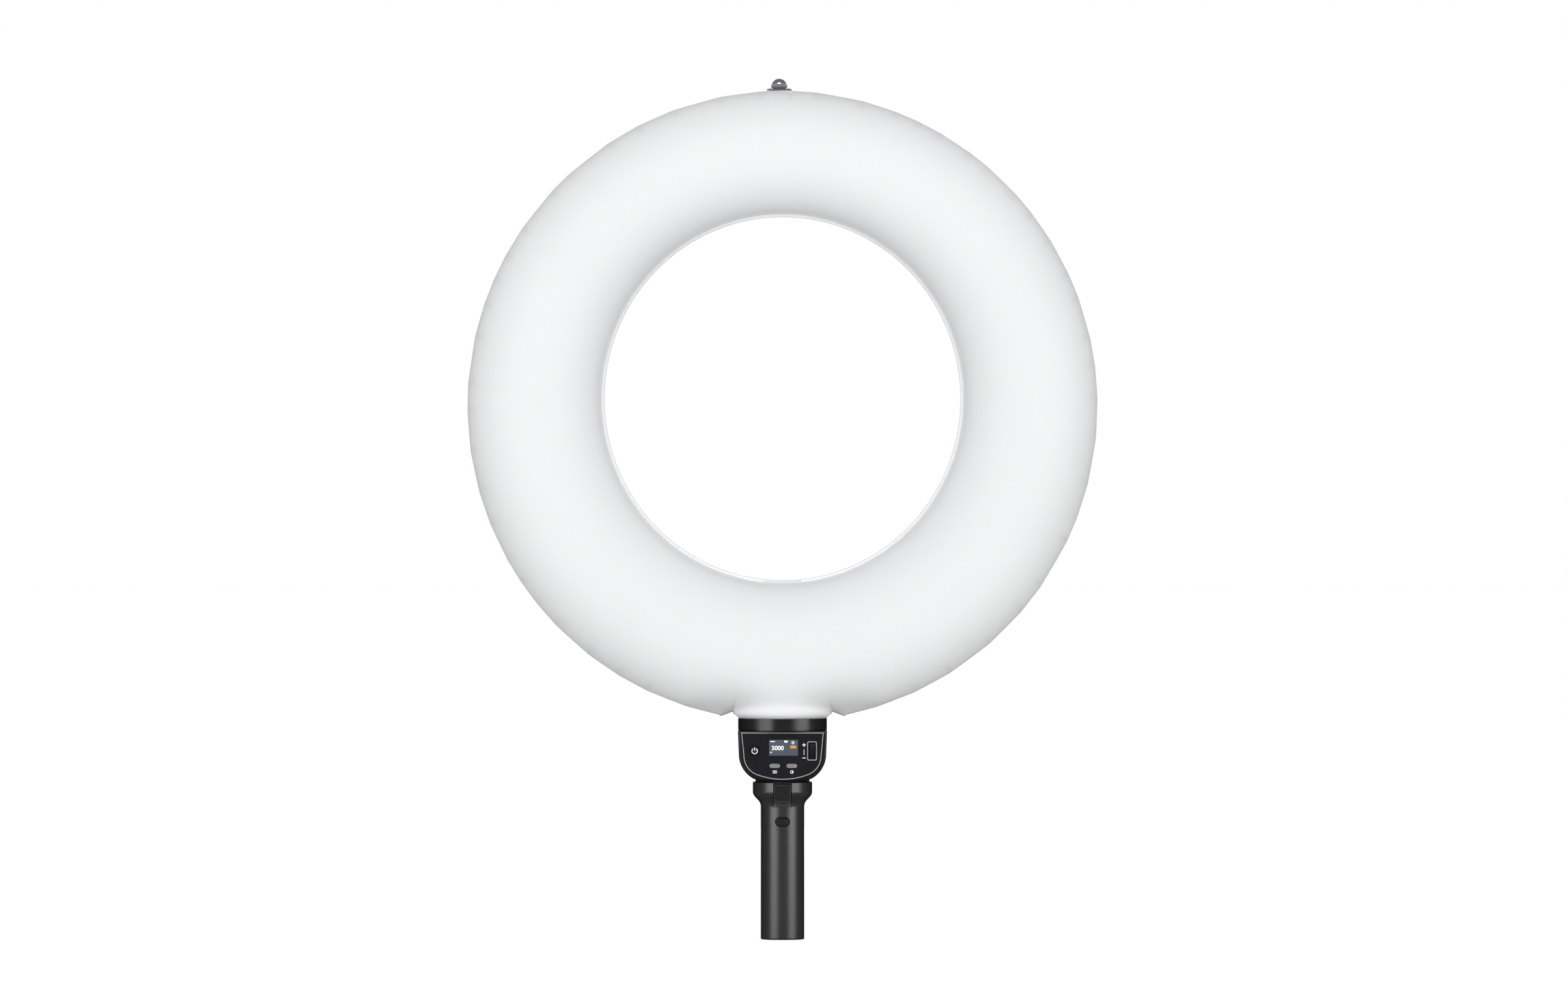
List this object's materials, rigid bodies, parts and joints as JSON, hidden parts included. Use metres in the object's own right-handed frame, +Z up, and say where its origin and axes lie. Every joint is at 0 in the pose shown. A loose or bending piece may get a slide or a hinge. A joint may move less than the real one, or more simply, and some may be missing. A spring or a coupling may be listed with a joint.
{
  "type": "inflatable ring light",
  "caption": "Inflatable ring light: a blown-up white ring bag on a control head with display, keys and dial, on a pull-off battery handle with a stand thread.",
  "frame": {"origin": "mouth of the stand thread, in the centre of the handle's bottom face", "axes": "+Z up the handle to the ring, -Y the front with the control panel, +X to the right of someone who looks at the panel"},
  "size_m": [0.5002, 0.098, 0.6824],
  "materials": {
    "bag_film": "satin white translucent film",
    "white_moulding": "white moulded plastic",
    "clear_tube": "soft translucent tube",
    "dark_rim": "dark rubber",
    "head_shell": "satin black",
    "band": "smooth black",
    "panel": "near-black film",
    "silver": "bright silver line",
    "screen_glass": "lit display",
    "button_dark": "dark button",
    "button_grey": "grey button",
    "wheel": "ribbed black rubber",
    "handle_metal": "dark satin paint, fine grain",
    "neck": "black",
    "latch": "dark satin",
    "latch_rubber": "ribbed rubber",
    "inlet_metal": "dark steel",
    "hanger_metal": "gunmetal",
    "steel": "plain steel",
    "brass": "brass",
    "board": "circuit board",
    "cell_wrap": "shrink film on a cell",
    "inner_plastic": "inner black plastic",
    "led": "emitter"
  },
  "bodies": {
    "handle": {"handle_shell": "handle_metal", "bottom_cap": "neck", "stand_thread_insert": "brass", "battery_cell": "cell_wrap", "battery_carrier": "inner_plastic", "battery_contact": "steel", "inlet_shell": "inlet_metal", "inlet_tongue": "inner_plastic", "inlet_surround": "latch_rubber", "charge_board": "board", "contact_block": "inner_plastic", "contact_pins": "brass", "latch_track": "latch", "catch_spring": "steel", "latch_spring": "steel"},
    "latch": {"latch_slider": "latch", "latch_pad": "latch_rubber"},
    "head": {"neck_spigot": "neck", "spigot_contacts": "brass", "head_front_shell": "head_shell", "head_rear_shell": "head_shell", "top_band": "band", "panel_trim": "silver", "control_panel": "panel", "display_window": "screen_glass", "display_module": "inner_plastic", "control_board": "board", "power_ring": "neck", "tact_switches": "inner_plastic", "dial_frame": "silver", "dial_bracket": "inner_plastic", "dial_axle": "steel", "pump_housing": "inner_plastic", "pump_motor": "steel", "air_tube": "clear_tube", "check_valve": "dark_rim", "driver_board": "board", "collar": "white_moulding", "collar_seal": "dark_rim", "collar_screws": "steel", "clamp_rim": "dark_rim", "bag_neck": "bag_film", "bag_front_skin": "bag_film", "bag_rear_skin": "bag_film", "hole_flange": "bag_film", "inner_former": "white_moulding", "led_strip": "white_moulding", "led_emitters": "led", "strip_lead": "clear_tube", "hanger_patch": "bag_film", "hanger_base": "hanger_metal", "hanger_pin": "steel", "hanger_rivets": "hanger_metal"},
    "power_key": {"power_button": "button_dark"},
    "menu_key": {"menu_button": "button_grey"},
    "mode_key": {"mode_button": "button_grey"},
    "dial": {"dial_wheel": "wheel"},
    "impeller": {"pump_impeller": "inner_plastic"},
    "lug": {"hanger_lug": "hanger_metal"}
  },
  "joints": [
    {"name": "grip_release", "type": "slide", "parent": "handle", "child": "head", "axis": [0, 0, 1], "range_m": [0, 0.03], "deforming": ["catch_spring"]},
    {"name": "latch_slide", "type": "slide", "parent": "handle", "child": "latch", "axis": [0, 0, -1], "range_m": [0, 0.0035], "stiffness_N_per_m": 400, "springref_m": -0.002, "deforming": ["latch_spring"]},
    {"name": "power_press", "type": "slide", "parent": "head", "child": "power_key", "axis": [0, 1, 0], "range_m": [0, 0.0005], "stiffness_N_per_m": 900, "springref_m": -0.0004},
    {"name": "menu_press", "type": "slide", "parent": "head", "child": "menu_key", "axis": [0, 1, 0], "range_m": [0, 0.0005], "stiffness_N_per_m": 900, "springref_m": -0.0004},
    {"name": "mode_press", "type": "slide", "parent": "head", "child": "mode_key", "axis": [0, 1, 0], "range_m": [0, 0.0005], "stiffness_N_per_m": 900, "springref_m": -0.0004},
    {"name": "dial_spin", "type": "hinge", "parent": "head", "child": "dial", "pos_m": [0.0236, -0.0218, 0.1499], "axis": [1, 0, 0], "continuous": true},
    {"name": "impeller_spin", "type": "hinge", "parent": "head", "child": "impeller", "pos_m": [0, 0.006, 0.155], "axis": [0, 0, 1], "continuous": true},
    {"name": "lug_fold", "type": "hinge", "parent": "head", "child": "lug", "pos_m": [-0.0026, 0, 0.6763], "axis": [1, 0, 0], "range_deg": [-75, 75]}
  ]
}
